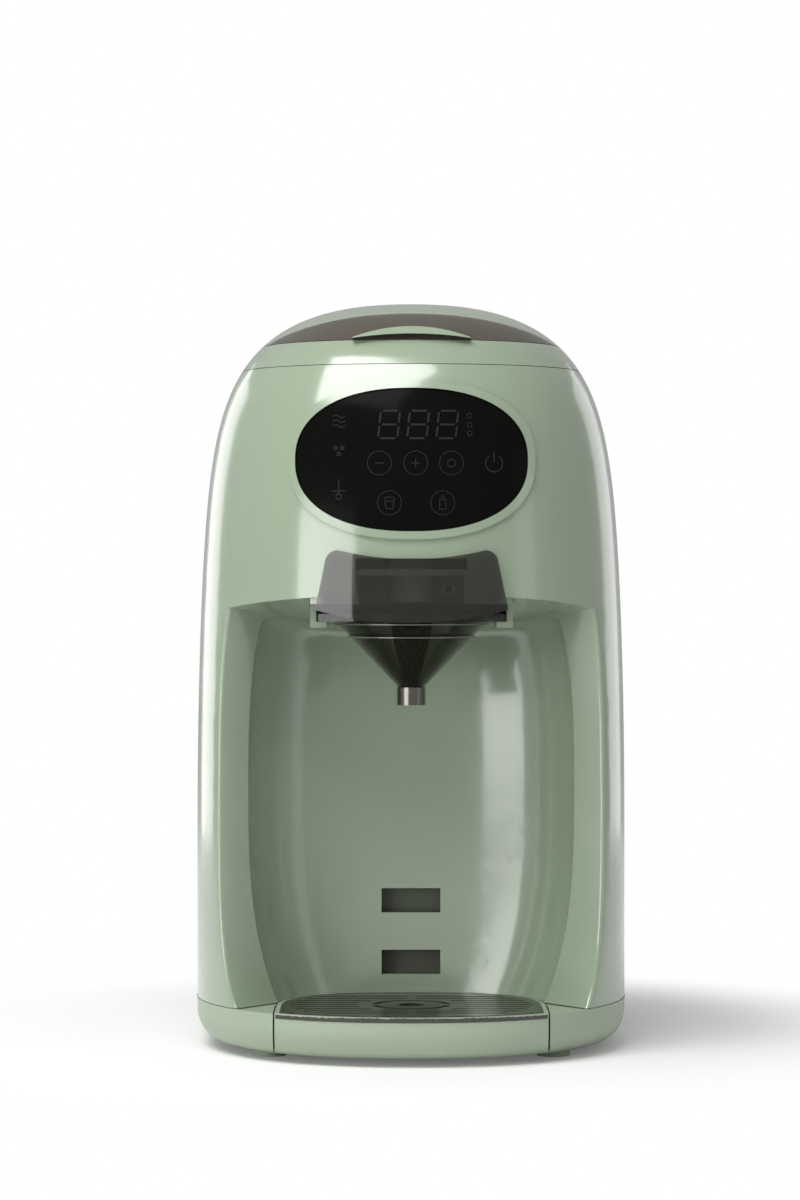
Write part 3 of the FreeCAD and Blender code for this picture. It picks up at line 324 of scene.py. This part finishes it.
# Funnel: a cone of dark smoked plastic, in which powder and water meet over the bottle. It hangs
# on two rails and slides out with its nozzle and the nose cover.
FUNNEL_SMOKE = (0.009, 0.009, 0.005)
smoke_dark = smoked("smoke_dark", FUNNEL_SMOKE, 0.62)
skin("funnel", smoke_dark, "funnel_unit")

# Nozzle: a short tube of steel, pressed into the funnel's tip, in a much darker steel colour that
# paints the shade it sits in. Its streaks run along the tube.
NOZZLE_STEEL_PAINTED_SHADE = (0.17, 0.165, 0.145)
ALONG_THE_AXIS = (6, 6, 0.2)
steel_painted_shade = metal("steel_painted_shade", NOZZLE_STEEL_PAINTED_SHADE, 0.14, ALONG_THE_AXIS)
skin("funnel_nozzle", steel_painted_shade, "funnel_unit")

# Nose cover: a moulding in a lighter smoke than the funnel's, with a glossier face. It is fixed to
# the funnel's front and comes out with it.
COVER_SMOKE = (0.016, 0.015, 0.010)
cover_smoke = smoked("cover_smoke", COVER_SMOKE, 0.52, coat=0.7)
skin("funnel_cover", cover_smoke, "funnel_unit")

# Funnel highlights: two fine pale rings where the rim turns into the cone, a painted highlight for
# the moulding's edges as they catch the light. They are 0.7 mm wide and 0.5 mm high, and centred on the
# funnel.
PAINTED_HIGHLIGHT_GREY = (0.16, 0.165, 0.135)
LINE_INSIDE = 0.0004
LINE_OUTSIDE = 0.0003
LINE_HEIGHT = 0.0005
LINE_STEPS = 72
FUNNEL_AXIS_Y = -0.098
painted_highlight_smoke = moulded("painted_highlight_smoke", PAINTED_HIGHLIGHT_GREY, 0.15, relief=0.0)
for label, radius, low in (("funnel_painted_highlight_high", 0.0369, 0.2062), ("funnel_painted_highlight_low", 0.0306, 0.2000)):
    inner = radius - LINE_INSIDE
    outer = radius + LINE_OUTSIDE
    high = low + LINE_HEIGHT
    section = [(inner, low), (outer, low), (outer, high), (inner, high)]
    rows = []
    for step in range(LINE_STEPS + 1):
        angle = math.radians(step * 360 / LINE_STEPS)
        rows.append([(r * math.sin(angle), FUNNEL_AXIS_Y - r * math.cos(angle), z) for r, z in section])
    strip_piece(label, rows, painted_highlight_smoke, "funnel_unit")

# Control panel: an oval window of black plastic, polished smooth. It is set in the green rim and
# follows the curve of the shell's front.
LENS_BLACK = (0.0040, 0.0040, 0.0036)
lens_black = moulded("lens_black", LENS_BLACK, 0.14, relief=0.0, IOR=1.10)
skin("panel_lens", lens_black, "housing")

# Panel marks: thin grey lines on the window, in three seven-bar figures, six touch keys with plain
# signs, and small pictures at both sides. Sizes and places are in mm across and up on the panel.
MARK_GREY = (0.017, 0.017, 0.015)
MM = 0.001
MARK_PROUD = 0.00012
PIECE_LENGTH = 2.0
FIGURE_LEFT = -15.6
FIGURE_PITCH = 13.6
FIGURE_WIDTH = 9.0
FIGURE_LOW = 293.6
FIGURE_HIGH = 306.6
FIGURE_MIDDLE = (FIGURE_LOW + FIGURE_HIGH) / 2
FIGURE_LEAN = 1.2
FIGURE_LINE = 0.9
LEVEL_BAR_END = 1.0
UPRIGHT_BAR_END = 0.8
KEY_RADIUS = 5.6
KEY_LINE = 0.36
MINUS_KEY = (-15.0, 282.0)
PLUS_KEY = (1.9, 282.0)
DOT_KEY = (18.6, 282.0)
CUP_KEY = (-10.3, 263.4)
BOTTLE_KEY = (14.5, 263.4)
POWER_KEY = (38.6, 282.0)
SIGN_LINE = 0.5
PICTURE_LINE = 0.45
FINE_LINE = 0.4
POWER_LINE = 0.6
PICTURES_ACROSS = -34.0
lens_tree = skin_tree("panel_lens")


def stroke(form, points, width):
    """A thin flat line through points of the panel plane, laid on the window."""
    path = []
    for start, end in zip(points, points[1:]):
        start = Vector(start)
        end = Vector(end)
        count = max(1, math.ceil((end - start).length / PIECE_LENGTH))
        path += [start.lerp(end, step / count) for step in range(count)]
    path.append(Vector(points[-1]))
    rails = []
    for index, point in enumerate(path):
        along = path[min(index + 1, len(path) - 1)] - path[max(index - 1, 0)]
        across = Vector((-along.y, along.x)).normalized() * width / 2
        for side in (point + across, point - across):
            seat = lens_tree.ray_cast(Vector((side.x * MM, -OUTSIDE, side.y * MM)), Vector((0, 1, 0)))[0]
            rails.append(form.verts.new(seat - Vector((0, MARK_PROUD, 0))))
    for index in range(0, len(rails) - 2, 2):
        form.faces.new((rails[index], rails[index + 1], rails[index + 3], rails[index + 2]))


def ring(center, radius, first=0.0, last=360.0):
    """Points of an arc in the panel plane, anticlockwise from the right."""
    count = max(6, int(abs(last - first) / 12))
    angles = [math.radians(first + (last - first) * step / count) for step in range(count + 1)]
    return [(center[0] + radius * math.cos(a), center[1] + radius * math.sin(a)) for a in angles]


def beside(center, *steps):
    """Points of the panel plane, each given by its steps across and up from a centre."""
    return [(center[0] + across, center[1] + up) for across, up in steps]


def lean(level):
    """How far a figure leans to the right at a level between its foot and its top."""
    return FIGURE_LEAN * (level - FIGURE_LOW) / (FIGURE_HIGH - FIGURE_LOW)


marks = []
for figure in range(3):
    left = FIGURE_LEFT + figure * FIGURE_PITCH
    for level in (FIGURE_LOW, FIGURE_MIDDLE, FIGURE_HIGH):
        start = left + lean(level) + LEVEL_BAR_END
        end = left + lean(level) + FIGURE_WIDTH - LEVEL_BAR_END
        marks.append(([(start, level), (end, level)], FIGURE_LINE))
    for low, high in ((FIGURE_LOW, FIGURE_MIDDLE), (FIGURE_MIDDLE, FIGURE_HIGH)):
        for side in (left, left + FIGURE_WIDTH):
            foot = (side + lean(low), low + UPRIGHT_BAR_END)
            top = (side + lean(high), high - UPRIGHT_BAR_END)
            marks.append(([foot, top], FIGURE_LINE))
for key in (MINUS_KEY, PLUS_KEY, DOT_KEY, CUP_KEY, BOTTLE_KEY):
    marks.append((ring(key, KEY_RADIUS), KEY_LINE))
marks += [
    (ring(POWER_KEY, 4.0, 125, 415), POWER_LINE),
    (beside(POWER_KEY, (0, 0.6), (0, 5.4)), POWER_LINE),
    (beside(MINUS_KEY, (-2.0, 0), (2.0, 0)), SIGN_LINE),
    (beside(PLUS_KEY, (-2.0, 0), (2.0, 0)), SIGN_LINE),
    (beside(PLUS_KEY, (0, -2.0), (0, 2.0)), SIGN_LINE),
    (ring(DOT_KEY, 1.8), SIGN_LINE),
    (beside(CUP_KEY, (-2.3, 2.6), (-1.6, -2.8), (1.6, -2.8), (2.3, 2.6), (-2.3, 2.6)), PICTURE_LINE),
    (beside(CUP_KEY, (-1.9, 0.8), (1.9, 0.8)), FINE_LINE),
    (beside(BOTTLE_KEY, (-1.5, -3.0), (-1.5, 1.4), (1.5, 1.4), (1.5, -3.0), (-1.5, -3.0)), PICTURE_LINE),
    (beside(BOTTLE_KEY, (-0.8, 1.6), (0, 3.8), (0.8, 1.6)), PICTURE_LINE),
]
for level in (299.5, 301.8, 304.1):
    wave = beside((PICTURES_ACROSS, level), (-3.0, 0), (-1.0, 0.7), (1.0, -0.7), (3.0, 0))
    marks.append((wave, FINE_LINE))
for drop in beside((PICTURES_ACROSS, 289.2), (-1.6, 0), (1.6, 0), (0, -2.8)):
    marks.append((ring(drop, 0.8), SIGN_LINE))
marks += [
    (beside((PICTURES_ACROSS, 267.0), (0, 7.6), (0, 0)), PICTURE_LINE),
    (beside((PICTURES_ACROSS, 269.0), (-3.2, 0), (3.2, 0)), PICTURE_LINE),
    (ring((PICTURES_ACROSS, 266.4), 1.3), PICTURE_LINE),
]
for level in (296.0, 300.0, 304.4):
    marks.append((ring((27.2, level), 1.1), FINE_LINE))

marks_form = bmesh.new()
for points, width in marks:
    stroke(marks_form, points, width)
bmesh.ops.recalc_face_normals(marks_form, faces=marks_form.faces)
for face in marks_form.faces:
    if face.normal.y > 0:
        face.normal_flip()
marks_mesh = bpy.data.meshes.new("panel_marks")
marks_form.to_mesh(marks_mesh)
marks_form.free()
marks_piece = bpy.data.objects.new("panel_marks", marks_mesh)
bpy.context.scene.collection.objects.link(marks_piece)
marks_mesh.materials.append(moulded("mark_grey", MARK_GREY, 0.6, relief=0.0, IOR=1.2))
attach(marks_piece, "housing")

# Water tank: a smoked clear vessel that stands in the bay at the back and lifts straight out.
# Its cap is moulded in the housing's polished green and lifts off for filling.
TANK_SMOKE = (0.10, 0.11, 0.10)
tank_smoke = smoked("tank_smoke", TANK_SMOKE, 0.45)
skin("water_tank", tank_smoke, "tank")
skin("tank_lid", sage_gloss, "tank_cap")

# Powder works: the clear bin under the lid, and the white mouldings that stir, measure, carry and
# drop the powder.
BIN_CLEAR = (0.55, 0.57, 0.56)
PLASTIC_WHITE = (0.74, 0.74, 0.71)
clear_bin = smoked("clear_bin", BIN_CLEAR, 0.5)
skin("powder_hopper", clear_bin, "housing")
white_plastic = moulded("white_plastic", PLASTIC_WHITE, 0.42)
powder_works = {
    "dosing_plate": "housing",
    "powder_chute": "housing",
    "drive_chassis": "housing",
    "dosing_wheel": "dosing_drive",
    "powder_stirrer": "dosing_drive",
    "spindle_gear": "dosing_drive",
    "motor_pinion": "motor_rotor",
}
for part, body in powder_works.items():
    skin(part, white_plastic, body)

# Tank's valve: a white moulded cage in the tank's floor, with the sprung plunger inside it, which
# the seat in the bay pushes up.
skin("valve_cage", white_plastic, "tank")
skin("valve_plunger", white_plastic, "tank_valve")

# Rubber seat and hoses: pale silicone, pushed over the stubs of the pump, the heater and the
# water spout.
SILICONE_PALE = (0.66, 0.66, 0.63)
silicone = moulded("silicone", SILICONE_PALE, 0.5)
for part in ("tank_inlet_seat", "suction_hose", "feed_hose", "hot_hose"):
    skin(part, silicone, "housing")

# Pump, stands, posts, inlet and display: plain black mouldings inside the housing, fixed to its
# walls and floor.
PLASTIC_BLACK = (0.022, 0.022, 0.022)
black_plastic = moulded("black_plastic", PLASTIC_BLACK, 0.45, relief=0.00005)
for part in ("water_pump", "pump_cradle", "heater_stand", "board_standoffs", "power_inlet", "digit_display"):
    skin(part, black_plastic, "housing")

# Boards: green laminate. The panel's board sits in a white bracket behind the window, and the
# power board stands on four posts.
BOARD_GREEN = (0.03, 0.14, 0.06)
board_green = moulded("board_green", BOARD_GREEN, 0.35)
skin("board_bracket", white_plastic, "housing")
skin("control_board", board_green, "housing")
skin("power_board", board_green, "housing")

# Floor: a plain pale sheet that keeps the machine's shadow close to it. Further off it fades to
# white where the camera sees it.
FLOOR_SIZE = 6.0
FLOOR_GREY = (0.86, 0.86, 0.86, 1)
FADE_START = 0.16
FADE_END = 0.30
LEAST_WHITE = 0.12


def mixed(tree, output, factor, first, second):
    """Join a shader tree's output to the first shader where the factor is 0, the second where 1."""
    mix = tree.nodes.new("ShaderNodeMixShader")
    tree.links.new(factor, mix.inputs["Fac"])
    tree.links.new(first, mix.inputs[1])
    tree.links.new(second, mix.inputs[2])
    tree.links.new(mix.outputs[0], tree.nodes.new(output).inputs["Surface"])


floor_form = bmesh.new()
bmesh.ops.create_grid(floor_form, x_segments=1, y_segments=1, size=FLOOR_SIZE)
floor_mesh = bpy.data.meshes.new("floor")
floor_form.to_mesh(floor_mesh)
floor_form.free()
floor = bpy.data.objects.new("floor", floor_mesh)
bpy.context.scene.collection.objects.link(floor)
pale = bpy.data.materials.new("pale_floor")
pale.use_nodes = True
tree = pale.node_tree
tree.nodes.clear()
plain = tree.nodes.new("ShaderNodeBsdfDiffuse")
plain.inputs["Color"].default_value = FLOOR_GREY
glow = tree.nodes.new("ShaderNodeEmission")
place = tree.nodes.new("ShaderNodeTexCoord")
reach = tree.nodes.new("ShaderNodeVectorMath")
reach.operation = "LENGTH"
tree.links.new(place.outputs["Object"], reach.inputs[0])
fade = tree.nodes.new("ShaderNodeMapRange")
fade.interpolation_type = "SMOOTHSTEP"
fade.inputs["From Min"].default_value = FADE_START
fade.inputs["From Max"].default_value = FADE_END
fade.inputs["To Min"].default_value = LEAST_WHITE
tree.links.new(reach.outputs["Value"], fade.inputs["Value"])
path = tree.nodes.new("ShaderNodeLightPath")
seen = tree.nodes.new("ShaderNodeMath")
seen.operation = "MULTIPLY"
tree.links.new(path.outputs["Is Camera Ray"], seen.inputs[0])
tree.links.new(fade.outputs[0], seen.inputs[1])
mixed(tree, "ShaderNodeOutputMaterial", seen.outputs[0], plain.outputs[0], glow.outputs[0])
floor_mesh.materials.append(pale)

# Surroundings: plain white where the camera sees them, also through clear plastic. As light on
# the machine they are dimmer.
SURROUND_LIGHT = 0.42
WHITE = (1, 1, 1, 1)
world = bpy.data.worlds.new("white_studio")
bpy.context.scene.world = world
world.use_nodes = True
tree = world.node_tree
tree.nodes.clear()
fill = tree.nodes.new("ShaderNodeBackground")
fill.inputs["Color"].default_value = WHITE
fill.inputs["Strength"].default_value = SURROUND_LIGHT
bright = tree.nodes.new("ShaderNodeBackground")
bright.inputs["Color"].default_value = WHITE
bright.inputs["Strength"].default_value = 1.0
path = tree.nodes.new("ShaderNodeLightPath")
clear = tree.nodes.new("ShaderNodeMath")
clear.operation = "MAXIMUM"
tree.links.new(path.outputs["Is Camera Ray"], clear.inputs[0])
tree.links.new(path.outputs["Is Transmission Ray"], clear.inputs[1])
mixed(tree, "ShaderNodeOutputWorld", clear.outputs[0], fill.outputs[0], bright.outputs[0])

# Lamps: soft boxes, each given by its place, what it faces, its width and height in metres, and
# its power in watts. The two at the back draw the bright rims of the sides.
lamps = {
    "key_left": ((-1.15, -1.35, 0.26), (0, -0.05, 0.12), 1.05, 0.66, 9),
    "fill_right": ((1.35, -0.85, 0.30), (0, -0.05, 0.14), 0.35, 1.0, 0.6),
    "top_left": ((-0.45, -0.75, 1.45), (0, -0.08, 0.25), 1.2, 0.9, 23),
    "rim_left": ((-0.95, 1.15, 0.30), (0, 0, 0.17), 0.6, 1.1, 3.0),
    "rim_right": ((0.95, 1.15, 0.30), (0, 0, 0.17), 0.6, 1.1, 1.8),
}
for name, (place, aim, width, height, watts) in lamps.items():
    lamp = bpy.data.lights.new(name, "AREA")
    lamp.shape = "RECTANGLE"
    lamp.size = width
    lamp.size_y = height
    lamp.energy = watts
    item = bpy.data.objects.new(name, lamp)
    item.location = place
    item.rotation_euler = (Vector(aim) - Vector(place)).to_track_quat("-Z", "Y").to_euler()
    bpy.context.scene.collection.objects.link(item)

# Camera: a long lens about 1.9 m in front, at two thirds of the machine's height, tipped down by
# less than half a degree. Its place comes from how the lid's and the base's seams curve.
FRAME_HEIGHT = 1200.0
FOCAL_LENGTH_PIXELS = 3749.0
SENSOR_HEIGHT = 36.0
CAMERA_PLACE = (-0.0054, -1.890, 0.2298)
TIPPED_DOWN = 0.382
camera_data = bpy.data.cameras.new("studio_camera")
camera_data.sensor_fit = "VERTICAL"
camera_data.sensor_height = SENSOR_HEIGHT
camera_data.lens = FOCAL_LENGTH_PIXELS / FRAME_HEIGHT * SENSOR_HEIGHT
camera_data.clip_start = 0.05
camera_data.clip_end = 30
camera = bpy.data.objects.new("studio_camera", camera_data)
camera.location = CAMERA_PLACE
camera.rotation_euler = (math.radians(90 - TIPPED_DOWN), 0, 0)
bpy.context.scene.collection.objects.link(camera)
bpy.context.scene.camera = camera
bpy.context.scene.view_settings.view_transform = "Standard"
